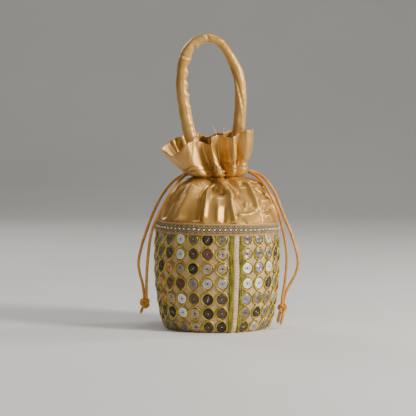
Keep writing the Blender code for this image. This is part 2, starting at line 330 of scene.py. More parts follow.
def mirror_material(name, dark, light, rough, metallic=0.86):
    """Foil mirror with fine turned rings, scuffs and a streaky tone; the colours passed in carry painted reflection,
    and painted shade for the hole.
    """
    m = Mat(name)
    streak = m.noise(260.0, 3.0, 0.6, m.mapping((1.0, 1.0, 2.6), (0.5, 0.3, 0.2)), 0.6)
    scuff = m.noise(1400.0, 3.0, 0.7)
    m.colour(m.mix(0.35, m.ramp(streak, [(0.32, dark), (0.68, light)]),
                   m.ramp(scuff, [(0.3, (0.55, 0.53, 0.5)), (0.6, (1.0, 1.0, 1.0))]), "MULTIPLY"))
    m.const(Metallic=metallic, Coat_Weight=0.25, Coat_Roughness=0.12)
    m.rough_range(scuff, rough, rough + 0.16)
    m.bump(scuff, 0.00012, 0.35)
    return m.mat


# Disc tones: each is partly the disc's own tint and partly a painted reflection of its surroundings, baked into the
# base colour; white, black and the greys stand for what the foil reflects.
DISC_TINT_AND_REFLECTION = {
    "W": mirror_material("mirror_white_tint_and_reflection", srgb(244, 238, 226), srgb(255, 252, 244), 0.28, 0.18),
    "G": mirror_material("mirror_light_grey_tint_and_reflection", srgb(176, 168, 156), srgb(216, 206, 192), 0.24, 0.7),
    "M": mirror_material("mirror_grey_tint_and_reflection", srgb(120, 108, 96), srgb(168, 154, 138), 0.22, 0.75),
    "V": mirror_material("mirror_blue_grey_tint_and_reflection", srgb(136, 134, 148), srgb(184, 180, 192), 0.22),
    "O": mirror_material("mirror_olive_grey_tint_and_reflection", srgb(118, 112, 84), srgb(160, 152, 118), 0.24),
    "B": mirror_material("mirror_beige_tint_and_reflection", srgb(158, 132, 102), srgb(204, 180, 148), 0.24),
    "D": mirror_material("mirror_dark_brown_tint_and_reflection", srgb(66, 52, 40), srgb(108, 88, 70), 0.20),
    "R": mirror_material("mirror_red_brown_tint_and_reflection", srgb(84, 42, 32), srgb(126, 70, 54), 0.22, 0.6),
    "C": mirror_material("mirror_copper_tint_and_reflection", srgb(212, 128, 68), srgb(240, 168, 108), 0.24, 0.5),
    "K": mirror_material("mirror_black_tint_and_reflection", srgb(20, 19, 19), srgb(52, 48, 44), 0.16),
}
TINT_AND_REFLECTION_KEYS = list(DISC_TINT_AND_REFLECTION)
# Groove colours: a lighter and a darker copy, picked to follow each disc's tint and painted reflection.
GROOVE_LIGHT_TINT_AND_REFLECTION = mirror_material("mirror_groove_light_tint_and_reflection", srgb(118, 112, 104), srgb(160, 154, 144), 0.34, 0.7)
GROOVE_DARK_TINT_AND_REFLECTION = mirror_material("mirror_groove_dark_tint_and_reflection", srgb(70, 62, 54), srgb(104, 94, 82), 0.34, 0.7)
# A dark plug that fills each disc's centre hole: painted shade where the hole shows only shadow.
HOLE_PAINTED_SHADE = mirror_material("mirror_hole_painted_shade", srgb(30, 24, 18), srgb(52, 42, 32), 0.6, 0.1)
GROOVE_SLOT = len(TINT_AND_REFLECTION_KEYS) + 1


# ================================================================ mesh helpers
class Build:
    """Collects closed bits of geometry, in mm, into one mesh."""

    def __init__(self):
        self.verts, self.faces, self.mats, self.count = [], [], [], 0

    def add(self, verts, faces, mat=0):
        verts = np.asarray(verts, float)
        for f in faces:
            f = np.asarray(f) + self.count
            self.faces.append(f)
            self.mats.append(np.asarray(mat, np.int32) if np.ndim(mat) else np.full(len(f), mat, np.int32))
        self.verts.append(verts)
        self.count += len(verts)

    def object(self, name, mats, smooth=True):
        verts = np.concatenate(self.verts) * MM
        loops = np.concatenate([f.ravel() for f in self.faces]).astype(np.int32)
        sizes = np.concatenate([np.full(len(f), f.shape[1], np.int32) for f in self.faces])
        starts = np.concatenate(([0], np.cumsum(sizes)[:-1])).astype(np.int32)
        me = bpy.data.meshes.new(name)
        me.vertices.add(len(verts))
        me.vertices.foreach_set("co", verts.astype(np.float32).ravel())
        me.loops.add(len(loops))
        me.loops.foreach_set("vertex_index", loops)
        me.polygons.add(len(sizes))
        me.polygons.foreach_set("loop_start", starts)
        me.polygons.foreach_set("loop_total", sizes)
        for mat in mats:
            me.materials.append(mat)
        me.polygons.foreach_set("material_index", np.concatenate(self.mats))
        me.polygons.foreach_set("use_smooth", np.full(len(sizes), smooth))
        me.update(calc_edges=True)
        me.validate()
        ob = bpy.data.objects.new(name, me)
        bpy.context.scene.collection.objects.link(ob)
        return ob


def grid_quads(rows, cols, wrap_cols=False, wrap_rows=False, flip=False):
    """Faces of a grid stored row by row."""
    r = np.arange(rows if wrap_rows else rows - 1)
    c = np.arange(cols if wrap_cols else cols - 1)
    rr, cc = np.meshgrid(r, c, indexing="ij")
    rn, cn = (rr + 1) % rows, (cc + 1) % cols
    quads = np.stack([rr * cols + cc, rr * cols + cn, rn * cols + cn, rn * cols + cc], -1).reshape(-1, 4)
    return quads[:, ::-1] if flip else quads


def catmull(points, per_span=12, closed=False):
    p = np.asarray(points, float)
    if closed:
        p = np.concatenate([p[-1:], p, p[:2]])
    else:
        p = np.concatenate([2 * p[:1] - p[1:2], p, 2 * p[-1:] - p[-2:-1]])
    out = []
    t = np.arange(per_span)[:, None] / per_span
    for i in range(1, len(p) - 2):
        p0, p1, p2, p3 = p[i - 1], p[i], p[i + 1], p[i + 2]
        out.append(0.5 * (2 * p1 + (p2 - p0) * t + (2 * p0 - 5 * p1 + 4 * p2 - p3) * t ** 2
                          + (3 * p1 - p0 - 3 * p2 + p3) * t ** 3))
    out = np.concatenate(out)
    return out if closed else np.concatenate([out, p[-2:-1]])


def resample(points, spacing, closed=False):
    p = np.asarray(points, float)
    if closed:
        p = np.concatenate([p, p[:1]])
    seg = np.linalg.norm(np.diff(p, axis=0), axis=1)
    s = np.concatenate(([0.0], np.cumsum(seg)))
    n = max(2, int(round(s[-1] / spacing)))
    want = np.linspace(0.0, s[-1], n + 1)
    out = np.stack([np.interp(want, s, p[:, k]) for k in range(p.shape[1])], -1)
    return out[:-1] if closed else out


def frames_along(path, closed=False, up=None):
    """Tangent, normal and binormal at each point, without twist."""
    p = np.asarray(path, float)
    t = np.roll(p, -1, 0) - np.roll(p, 1, 0) if closed else np.gradient(p, axis=0)
    t /= np.linalg.norm(t, axis=1)[:, None] + 1e-12
    if up is not None:
        n = np.asarray(up, float)
        n = np.broadcast_to(n, p.shape).copy()
        n -= (n * t).sum(1)[:, None] * t
        n /= np.linalg.norm(n, axis=1)[:, None] + 1e-12
    else:
        n = np.zeros_like(p)
        seed = np.array([0.0, 0.0, 1.0]) if abs(t[0][2]) < 0.9 else np.array([1.0, 0.0, 0.0])
        v = seed - seed.dot(t[0]) * t[0]
        n[0] = v / np.linalg.norm(v)
        for i in range(1, len(p)):
            v = n[i - 1] - n[i - 1].dot(t[i]) * t[i]
            n[i] = v / (np.linalg.norm(v) + 1e-12)
    return t, n, np.cross(t, n)


def tube(path, radius, sides=8, closed=False, plies=0, pitch=3.0, depth=0.3, up=None, flat=1.0, taper=0.0):
    """A closed tube along a path in mm. plies > 0 gives the look of twisted yarn."""
    p = np.asarray(path, float)
    t, n, b = frames_along(p, closed, up)
    seg = np.linalg.norm(np.diff(p, axis=0), axis=1)
    s = np.concatenate(([0.0], np.cumsum(seg)))
    phi = np.arange(sides) * TAU / sides
    rad = np.full((len(p), sides), 1.0) * (np.asarray(radius).reshape(-1, 1) if np.ndim(radius) else radius)
    if plies:
        turns = max(1, round(s[-1] / pitch)) if closed else s[-1] / pitch
        twist = TAU * turns * (s / (s[-1] + (np.linalg.norm(p[0] - p[-1]) if closed else 0.0)))
        rad = rad * (1.0 - depth * (1.0 - np.abs(np.cos(plies / 2.0 * (phi[None, :] - twist[:, None])))))
    if taper:
        edge = np.clip(np.minimum(s, s[-1] - s) / taper, 0.0, 1.0)
        rad = rad * np.sqrt(1.0 - (1.0 - edge[:, None]) ** 2 * 0.96)
    ring = p[:, None, :] + rad[..., None] * (np.cos(phi)[None, :, None] * n[:, None, :] * flat
                                             + np.sin(phi)[None, :, None] * b[:, None, :])
    verts = ring.reshape(-1, 3)
    quads = grid_quads(len(p), sides, True, closed)
    if closed:
        return verts, [quads]
    a = len(verts)
    verts = np.concatenate([verts, p[:1], p[-1:]])
    k = np.arange(sides)
    first = np.stack([np.full(sides, a), (k + 1) % sides, k], -1)
    base = (len(p) - 1) * sides
    last = np.stack([np.full(sides, a + 1), base + k, base + (k + 1) % sides], -1)
    return verts, [quads, first, last]


def blob(centre, axes, sizes, seg=8, rings=5):
    """An ellipsoid: axes is three unit vectors, sizes three half lengths in mm."""
    lat = np.linspace(0, math.pi, rings + 2)[1:-1]
    phi = np.arange(seg) * TAU / seg
    loc = np.stack([np.outer(np.sin(lat), np.cos(phi)), np.outer(np.sin(lat), np.sin(phi)),
                    np.outer(np.cos(lat), np.ones(seg))], -1).reshape(-1, 3)
    loc = np.concatenate([loc, [[0, 0, 1], [0, 0, -1]]])
    verts = np.asarray(centre) + (loc * np.asarray(sizes)) @ np.asarray(axes, float)
    quads = grid_quads(rings, seg, True)[:, ::-1]
    k = np.arange(seg)
    n = rings * seg
    top = np.stack([np.full(seg, n), k, (k + 1) % seg], -1)
    bot = np.stack([np.full(seg, n + 1), (rings - 1) * seg + (k + 1) % seg, (rings - 1) * seg + k], -1)
    return verts, [quads, top, bot]


def add_thickness(ob, thickness, offset=-1.0):
    mod = ob.modifiers.new("thickness", "SOLIDIFY")
    mod.thickness = thickness * MM
    mod.offset = offset
    mod.use_even_offset = False


def apply_modifiers(ob):
    dg = bpy.context.evaluated_depsgraph_get()
    me = bpy.data.meshes.new_from_object(ob.evaluated_get(dg))
    old = ob.data
    ob.modifiers.clear()
    ob.data = me
    bpy.data.meshes.remove(old)


def finish_piece(ob, slot, *nodes):
    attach(ob, "root")
    if nodes:
        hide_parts(*nodes)
    return ob


# ================================================================ the pouch's surface
PROFILE = catmull([(104.5, 59.0), (97.0, 59.7), (84.0, 60.6), (68.0, 60.9), (52.0, 60.4), (37.0, 59.0),
                   (20.0, 56.5), (9.5, 54.1), (4.0, 52.0), (1.1, 49.4), (0.0, 46.4)], 14)
P_S = np.concatenate(([0.0], np.cumsum(np.linalg.norm(np.diff(PROFILE, axis=0), axis=1))))
P_Z, P_R = PROFILE[:, 0], PROFILE[:, 1]


def s_of_z(z):
    return np.interp(-np.asarray(z, float), -P_Z, P_S)


def body_point(theta, s, lift=0.0):
    """A point on the pouch: theta in degrees from the front towards +X, s in mm down from the rim."""
    theta, s, lift = np.broadcast_arrays(np.radians(theta), s, lift)
    z, r = np.interp(s, P_S, P_Z), np.interp(s, P_S, P_R)
    dz = np.interp(s + 0.5, P_S, P_Z) - np.interp(s - 0.5, P_S, P_Z)
    dr = np.interp(s + 0.5, P_S, P_R) - np.interp(s - 0.5, P_S, P_R)
    ln = np.hypot(dz, dr) + 1e-9
    nr, nz = -dz / ln, dr / ln
    rr, zz = r + nr * lift, z + nz * lift
    return np.stack([rr * np.sin(theta), -rr * np.cos(theta), zz], -1)


def body_axes(theta, s):
    """Sideways, upward and outward unit vectors at a point on the pouch."""
    th = math.radians(theta)
    p0, p1 = body_point(theta, s + 0.5), body_point(theta, s - 0.5)
    up = (p1 - p0) / np.linalg.norm(p1 - p0)
    side = np.array([math.cos(th), math.sin(th), 0.0])
    return side, up, np.cross(side, up)


COLUMNS = [28.5 + 13.44 * k for k in range(26)]
ROWS = s_of_z([92.4, 78.0, 64.0, 49.0, 34.0, 20.0, 6.3])
S_END = float(s_of_z(0.0))

# pouch cloth: ribbed silk that dips a little under each disc and puffs between them
TH = np.linspace(0.0, 360.0, 313)[:-1]
SS = np.concatenate([np.linspace(0.0, S_END, 96)])
tt, ss = np.meshgrid(TH, SS)
dip = np.zeros_like(tt)
for th0 in COLUMNS:
    dth = (tt - th0 + 180.0) % 360.0 - 180.0
    for s0 in ROWS:
        d2 = (np.radians(dth) * 58.0) ** 2 + (ss - s0) ** 2
        dip -= 0.45 * np.exp(-d2 / 22.0)
dip += 0.12 * np.sin(np.radians(tt) * 41 + ss * 0.5) * np.sin(ss * 0.9 + np.radians(tt) * 17)
dip *= np.clip((S_END - ss) / 6.0, 0.0, 1.0)
outer = body_point(tt, ss, dip)
rings = [outer]
for r in (40.0, 26.0, 12.0):
    ring = np.stack([r * np.sin(np.radians(TH)), -r * np.cos(np.radians(TH)), np.zeros_like(TH)], -1)
    rings.append(ring[None])
verts = np.concatenate(rings).reshape(-1, 3)
n_rows = len(SS) + 3
cloth = Build()
centre = len(verts)
verts = np.concatenate([verts, [[0.0, 0.0, 0.0]]])
quads = grid_quads(n_rows, len(TH), True)[:, ::-1]
k = np.arange(len(TH))
base = (n_rows - 1) * len(TH)
cloth.add(verts, [quads, np.stack([np.full(len(TH), centre), base + (k + 1) % len(TH), base + k], -1)])
pouch = cloth.object("pouch_cloth", [BODY])
add_thickness(pouch, 1.2, -1.0)
finish_piece(pouch, "body_cloth", "body_shell")

# lining: a loose cotton cup with a few soft folds
LP = catmull([(103.2, 56.0), (84.0, 57.6), (60.0, 57.6), (36.0, 56.0), (14.0, 52.2), (7.4, 49.8), (4.6, 46.4), (4.2, 40.0), (4.2, 20.0), (4.2, 3.0)], 5)
th = np.linspace(0.0, TAU, 97)[:-1]
lz, lr = LP[:, 0], LP[:, 1]
fold = 1.0 - 0.012 * (0.5 + 0.5 * np.sin(7 * th[None, :] + 0.03 * lz[:, None])) * np.clip(lr[:, None] / 50.0, 0, 1)
lv = np.stack([lr[:, None] * fold * np.sin(th), -lr[:, None] * fold * np.cos(th), np.repeat(lz[:, None], len(th), 1)], -1)
lv = np.concatenate([lv.reshape(-1, 3), [[0.0, 0.0, 4.2]]])
b = Build()
k = np.arange(len(th))
base = (len(LP) - 1) * len(th)
b.add(lv, [grid_quads(len(LP), len(th), True)[:, ::-1], np.stack([np.full(len(th), len(lv) - 1), base + (k + 1) % len(th), base + k], -1)])
lining = b.object("lining_cloth", [LINING])
add_thickness(lining, 0.5, -1.0)
finish_piece(lining, "lining", "lining")

# ================================================================ mirror discs
SEG = 26
disc_profile = [(1.02, -0.10), (1.10, 0.26), (1.36, 0.34), (1.75, 0.36), (1.95, 0.20), (2.15, 0.20), (2.35, 0.36), (2.85, 0.37),
                (3.05, 0.20), (3.28, 0.20), (3.5, 0.37), (4.35, 0.36), (4.86, 0.18), (5.0, -0.05), (4.85, -0.24), (1.06, -0.24)]
DISC_GROOVES = (3, 4, 5, 8, 9)
phi = np.arange(SEG) * TAU / SEG
disc_loc = np.array([[(r * math.cos(a), r * math.sin(a), h) for a in phi] for r, h in disc_profile]).reshape(-1, 3)
disc_quads = grid_quads(len(disc_profile), SEG, True, True)[:, ::-1]

FRONT = {  # letters of the discs' tint and painted reflection, top to bottom, of the columns that face the viewer
    19: "KDBKDKM", 20: "GMKCCKM", 21: "MDCRBKM", 22: "WWBRWWM", 23: "ODKMDBB", 24: "KRBGKKD", 25: "OBBGDDK",
    0: "MBWWVMD", 1: "MMVWMKG", 2: "GMWKMMM", 3: "BKBMGMD", 4: "DKBMMDM",
}
for k, th0 in enumerate(COLUMNS):
    letters = FRONT.get(k) or "".join(rng.choice("WGMMVOBBDDRCKK") for _ in range(7))
    b = Build()
    for row, s0 in enumerate(ROWS):
        side, up, out = body_axes(th0, s0)
        ax, ay = math.radians(rng.uniform(-5, 5)), math.radians(rng.uniform(-5, 5))
        n = out + math.tan(ax) * side + math.tan(ay) * up
        n /= np.linalg.norm(n)
        u = side - side.dot(n) * n
        u /= np.linalg.norm(u)
        v = np.cross(n, u)
        jitter_th, jitter_s = rng.uniform(-0.35, 0.35), rng.uniform(-0.35, 0.35)
        c = body_point(th0 + jitter_th, s0 + jitter_s, 0.95)
        groove = np.isin(np.arange(len(disc_quads)) // SEG, DISC_GROOVES)
        tone = TINT_AND_REFLECTION_KEYS.index(letters[row])
        # the grooves take the lighter or the darker copy to follow the disc's tint and painted reflection
        b.add(c + disc_loc @ np.stack([u, v, n]), [disc_quads], np.where(groove, GROOVE_SLOT + (0 if letters[row] in "WGBVC" else 1), tone))
        # a dark plug in the centre hole, painted shade, then the thread that holds the disc: a small knot and two
        # stitches out of its hole
        b.add(*blob(c - n * 0.02, [u, v, n], (1.02, 1.02, 0.14), 12, 3), len(TINT_AND_REFLECTION_KEYS) + 3)
        if letters[row] in "DKROV":
            b.add(*blob(c + n * 0.24, [u, v, n], (0.66, 0.56, 0.40), 8, 4), len(TINT_AND_REFLECTION_KEYS))
        a0 = rng.uniform(0, TAU)
        if rng.random() < (0.30 if letters[row] in "DKR" else 0.0):
            for da in (0.0, math.pi + rng.uniform(-0.4, 0.4)):
                d = u * math.cos(a0 + da) + v * math.sin(a0 + da)
                reach = rng.uniform(1.7, 3.6)
                pts = [c + n * 0.35, c + d * 1.0 + n * 0.62, c + d * reach + n * 0.52]
                b.add(*tube(catmull(pts, 3), 0.19, 5), len(TINT_AND_REFLECTION_KEYS))
    ob = b.object("mirror_string_%02d" % (k + 1), list(DISC_TINT_AND_REFLECTION.values()) + [STITCH, GROOVE_LIGHT_TINT_AND_REFLECTION, GROOVE_DARK_TINT_AND_REFLECTION, HOLE_PAINTED_SHADE])
    finish_piece(ob, "mirror", "mirror_column_%02d" % (k + 1))

# zari cords: two strands per column weave round the discs and cross between them
MID = [ROWS[0] - (ROWS[1] - ROWS[0]) / 2] + [(a + c) / 2 for a, c in zip(ROWS, ROWS[1:])] + [ROWS[-1] + 7.4]
S_CLAMP = float(s_of_z(1.5))
b = Build()
for k, th0 in enumerate(COLUMNS):
    for strand in (0, 1):
        pts = []
        sign = 1.0 if strand else -1.0
        for cell in range(7):
            s_a, s_b = MID[cell], MID[cell + 1]
            steps = 19
            for i in range(steps):
                f = i / steps
                s = s_a + (s_b - s_a) * f
                bulge = math.sin(math.pi * f) ** 0.72
                x = sign * (1 if cell % 2 == 0 else -1) * 6.15 * bulge
                over = (1 if (cell + strand) % 2 == 0 else -1) * 0.55 * math.cos(math.pi * f)
                pts.append((th0 + math.degrees(x / 60.0), min(s, S_CLAMP), 1.15 + over))
        arr = np.array(pts)
        path = body_point(arr[:, 0], arr[:, 1], arr[:, 2])
        path[:, 2] = np.maximum(path[:, 2], 0.95)
        keep = np.concatenate(([True], np.linalg.norm(np.diff(path, axis=0), axis=1) > 0.15))
        path = resample(path[keep], 0.72)
        b.add(*tube(path, 0.84, 6, plies=2, pitch=2.8, depth=0.34))
zari = b.object("zari_cords", [ZARI])
finish_piece(zari, "zari")

# ================================================================ seam: puckered strip between two braids
SEAM = 17.9
s_rows = np.linspace(float(s_of_z(97.0)), float(s_of_z(1.0)), 190)
w = np.linspace(-1.0, 1.0, 13)
ww, sr = np.meshgrid(w, s_rows)
pucker = 0.42 * np.sin(sr * 2.05 + 1.3 * np.sin(sr * 0.31) + 0.7 * ww) * (0.35 + 0.65 * (1 - ww ** 2))
lift = 0.75 + 0.75 * (1 - ww ** 2) ** 0.6 + pucker * 0.8
pv = body_point(SEAM + np.degrees(ww * 2.75 / 60.0) + 0.25 * np.sin(sr * 0.16), sr, lift)
b = Build()
b.add(pv.reshape(-1, 3), [grid_quads(len(s_rows), len(w))[:, ::-1]])
strip = b.object("seam_strip_cloth", [STRIP])
add_thickness(strip, 0.6, -1.0)
finish_piece(strip, "seam_cloth", "seam_strip")
for name, node, at in (("seam_braid_left", "seam_band_left", 13.05), ("seam_braid_right", "seam_band_right", 22.35)):
    b = Build()
    s = float(s_of_z(96.6))
    i = 0
    while s < float(s_of_z(1.9)):
        for sgn in (-1.0, 1.0):
            wob = 0.2 * math.sin(s * 0.21 + sgn)
            th0 = at + math.degrees((sgn * 0.90 + wob) / 60.0)
            side, up, out = body_axes(th0, s)
            ang = math.radians(38.0) * sgn
            d = -up * math.cos(ang) + side * math.sin(ang) * 1.0
            e = np.cross(out, d)
            c = body_point(th0, s + (0.87 if sgn > 0 else 0.0), 1.15)
            b.add(*blob(c, [d, e, out], (1.62, 0.70, 1.0), 8, 5))
        s += 1.75
        i += 1
    for sgn in (-1.0, 1.0):
        sr2 = np.linspace(float(s_of_z(97.0)), float(s_of_z(1.6)), 240)
        path = body_point(at + math.degrees(sgn * 1.75 / 60.0), sr2, 0.75)
        b.add(*tube(path, 0.38, 5, plies=2, pitch=1.8, depth=0.25))
    ob = b.object(name, [BRAID])
    finish_piece(ob, "zari", node)

# ================================================================ trim: braid, studs, twisted pipings
TRIM_MID = 101.9


def trim_point(theta_deg, dz, r):
    th = np.radians(theta_deg)
    wob = -1.5 * np.sin(th) + 0.35 * np.sin(2.0 * th + 0.6) + 0.12 * np.sin(9.0 * th)
    return np.stack([r * np.sin(th), -r * np.cos(th), TRIM_MID + dz + wob], -1)


th = np.linspace(0, 360, 361)[:-1]
prof = [(4.7, 60.6), (4.6, 61.3), (2.4, 61.75), (0.0, 61.85), (-2.4, 61.75), (-4.6, 61.4), (-4.7, 60.7)]
tv = np.stack([trim_point(th, dz, r) for dz, r in prof])
b = Build()
b.add(tv.reshape(-1, 3), [grid_quads(len(prof), len(th), True, True)[:, ::-1]], 0)
for waves, reach, mid, size in ((37, 3.7, 0.0, 0.36), (74, 1.35, 2.75, 0.27), (74, 1.35, -2.75, 0.27)):
    for phase in (0.0, math.pi):
        tz = np.linspace(0, 360, waves * 16 + 1)[:-1]
        wave = reach * (2.0 / math.pi) * np.arcsin(np.sin(np.radians(tz) * waves + phase))
        path = trim_point(tz, mid + wave, 62.0 + 0.28 * np.cos(np.radians(tz) * 2 * waves + phase))
        b.add(*tube(path, size, 5, closed=True), 1)
for dz in (4.15, -4.15):
    path = trim_point(np.linspace(0, 360, 521)[:-1], dz, 61.95)
    b.add(*tube(path, 0.34, 5, closed=True, plies=2, pitch=1.7, depth=0.3), 1)
trim = b.object("trim_braid", [LACE, LACE_THREAD])
finish_piece(trim, "lace", "trim_band")

b = Build()
n_studs = 74
for i in range(n_studs):
    a = 360.0 * (i + 0.5) / n_studs
    c = trim_point(a, 0.05 * math.sin(i * 2.1), 62.05)
    th0 = math.radians(a)
    side, up, out = np.array([math.cos(th0), math.sin(th0), 0]), np.array([0, 0, 1.0]), np.array([math.sin(th0), -math.cos(th0), 0])
    b.add(*blob(c, [side, up, out], (1.15, 1.0, 0.85), 10, 6), 0)
studs = b.object("trim_studs", [STUD])
finish_piece(studs, "lace")

for name, node, dz in (("piping_cord_top", "trim_piping_top", 5.05), ("piping_cord_bottom", "trim_piping_bottom", -5.05)):
    b = Build()
    path = trim_point(np.linspace(0, 360, 641)[:-1], dz, 61.5)
    b.add(*tube(path, 0.72, 8, closed=True, plies=2, pitch=3.2, depth=0.38))
    finish_piece(b.object(name, [PIPING]), "piping", node)

# ================================================================ crown: skirt, gathered neck and ruffle, one sheet of satin
# Each column of the sheet: its angle round the neck, the neck's radius there, and where it ends on the rim.
CROWN_COLUMNS = [
    (-92, 28.8, (-55.8, -2.0, 178.5)), (-76, 27.6, (-50.4, -9.0, 175.4)), (-61, 25.6, (-45.6, -13.5, 172.6)),
    (-47, 29.2, (-42.2, -21.5, 172.6)), (-36, 30.0, (-36.2, -30.0, 178.4)), (-27, 30.0, (-30.2, -32.5, 184.4)),
    (-20, 26.6, (-22.6, -28.0, 187.6)), (-13, 20.6, (-16.0, -22.0, 187.0)), (-6, 22.4, (-10.6, -24.5, 184.4)),
    (-1, 28.6, (-8.2, -29.0, 184.0)), (6, 30.4, (-5.8, -31.5, 185.4)), (13, 29.6, (-4.8, -27.5, 188.2)),
    (18, 24.0, (-5.0, -20.5, 191.2)), (20.5, 19.6, (0.0, -14.5, 193.2)), (23, 24.2, (6.5, -17.5, 191.8)),
    (29, 29.8, (11.5, -24.0, 190.6)), (35, 30.2, (15.4, -28.0, 191.6)), (40, 28.4, (18.6, -25.5, 193.2)),
    (44, 20.6, (21.4, -19.5, 195.0)), (49, 25.6, (25.0, -20.5, 196.8)), (59, 29.8, (30.2, -21.5, 198.2)),
    (73, 29.8, (34.8, -12.5, 198.2)), (87, 28.2, (36.0, -3.0, 196.8)), (99, 25.4, (31.0, 6.0, 195.4)),
    (112, 29.0, (28.5, 17.5, 196.2)), (124, 22.0, (19.0, 14.5, 194.2)), (137, 29.2, (14.0, 28.5, 196.2)),
    (149, 22.0, (5.5, 17.5, 194.6)), (162, 29.4, (-1.0, 31.5, 194.2)), (175, 22.0, (-8.0, 19.0, 190.6)),
    (189, 29.2, (-14.0, 30.5, 192.0)), (201, 22.2, (-22.0, 20.0, 194.8)), (214, 29.2, (-29.0, 29.0, 194.0)),
    (227, 22.6, (-35.0, 17.0, 191.4)), (241, 28.8, (-43.5, 19.5, 188.4)), (255, 24.4, (-49.5, 8.0, 184.4)),
]
n_ctrl = len(CROWN_COLUMNS)
SPAN = 9
ctrl = []
for i, (ang, r, rim) in enumerate(CROWN_COLUMNS):
    ctrl.append((ang, r, *rim))
ctrl = np.array(ctrl, float)
ext = np.concatenate([ctrl[-1:], ctrl, ctrl[:2]])
ext[0, 0] -= 360.0
ext[-2:, 0] += 360.0
cols = []
t = np.arange(SPAN)[:, None] / SPAN
for i in range(1, len(ext) - 2):
    p0, p1, p2, p3 = ext[i - 1], ext[i], ext[i + 1], ext[i + 2]
    cols.append(0.5 * (2 * p1 + (p2 - p0) * t + (2 * p0 - 5 * p1 + 4 * p2 - p3) * t ** 2 + (3 * p1 - p0 - 3 * p2 + p3) * t ** 3))
cols = np.concatenate(cols)
NC = len(cols)
neck_deg, neck_r, rim_xyz = cols[:, 0], cols[:, 1], cols[:, 2:5]
hem_deg = -92.0 + 360.0 * np.arange(NC) / NC
# the hem's columns stay near the neck's own angles, so that the cloth isn't sheared
hem_deg = 0.55 * hem_deg + 0.45 * neck_deg

SKIRT = catmull([(151.0, 23.6), (150.6, 26.4), (149.6, 30.6), (147.5, 34.8), (144.5, 38.8), (141.0, 42.2), (136.0, 46.6), (130.4, 50.8),
                 (120.0, 56.4), (112.0, 59.5), (107.5, 60.5), (105.0, 60.5), (102.6, 60.2)], 5)
CINCH = 151.0


def skirt_shift(z):
    """The bag leans: its skirt is fuller on the right than on the left."""
    return np.interp(z, [104.0, 112.0, 120.0, 130.0, 141.0, 148.0, 151.0], [0.0, 0.8, 1.8, 3.0, 3.2, 2.2, 0.3])


def to_skirt(cx, cy):
    """A point drawn on the front view (x and height in mm) as angle in degrees and height."""
    z = cy
    for _ in range(6):
        r = np.interp(-z, -SKIRT[:, 0], SKIRT[:, 1])
        xx = cx - float(skirt_shift(z))
        depth = math.sqrt(max(r * r - xx * xx, 0.0))
        z = cy + depth * math.tan(math.atan2(253.0 - z, 2060.0))
    r = np.interp(-z, -SKIRT[:, 0], SKIRT[:, 1])
    return math.degrees(math.asin(max(-1.0, min(1.0, (cx - float(skirt_shift(z))) / r)))), z


def fold_field(deg, z, radius, path, amp, width, ends=(5.0, 5.0), side=0.0):
    """Height of one fold that runs along a path of (degrees, height) points. side skews it into a lap."""
    pts = catmull(path, 6)
    dth = (deg - pts[0, 0] + 180.0) % 360.0 - 180.0 + pts[0, 0]
    x = np.radians(dth) * radius
    best = np.full(deg.shape, 1e9)
    sgn = np.zeros(deg.shape)
    along = np.zeros(deg.shape)
    run = 0.0
    px = pts[:, 0]
    for (a0, z0), (a1, z1) in zip(pts, pts[1:]):
        rr = np.interp(-(z0 + z1) / 2, -SKIRT[:, 0], SKIRT[:, 1])
        ax, bx = np.radians(a0) * radius, np.radians(a1) * radius
        vx, vz = bx - ax, z1 - z0
        l2 = vx * vx + vz * vz + 1e-9
        f = np.clip(((x - ax) * vx + (z - z0) * vz) / l2, 0.0, 1.0)
        dx, dz = x - (ax + f * vx), z - (z0 + f * vz)
        d = np.hypot(dx, dz)
        seg = math.hypot(math.radians(a1 - a0) * rr, z1 - z0)
        better = d < best
        best = np.where(better, d, best)
        sgn = np.where(better, np.sign(vx * dz - vz * dx), sgn)
        along = np.where(better, run + f * seg, along)
        run += seg
    fade = np.clip(along / max(ends[0], 0.01), 0, 1) * np.clip((run - along) / max(ends[1], 0.01), 0, 1)
    fade = fade * fade * (3 - 2 * fade)
    w = width * (1.0 + side * sgn)
    if amp < 0:
        return 1.75 * amp * np.exp(-(best / w) ** 1.45) * fade
    return 1.6 * amp * np.exp(-(best / w) ** 1.75) * fade


def view(*pts):
    """Front-view points: x in mm, height in mm."""
    return [to_skirt(x, y) for x, y in pts]


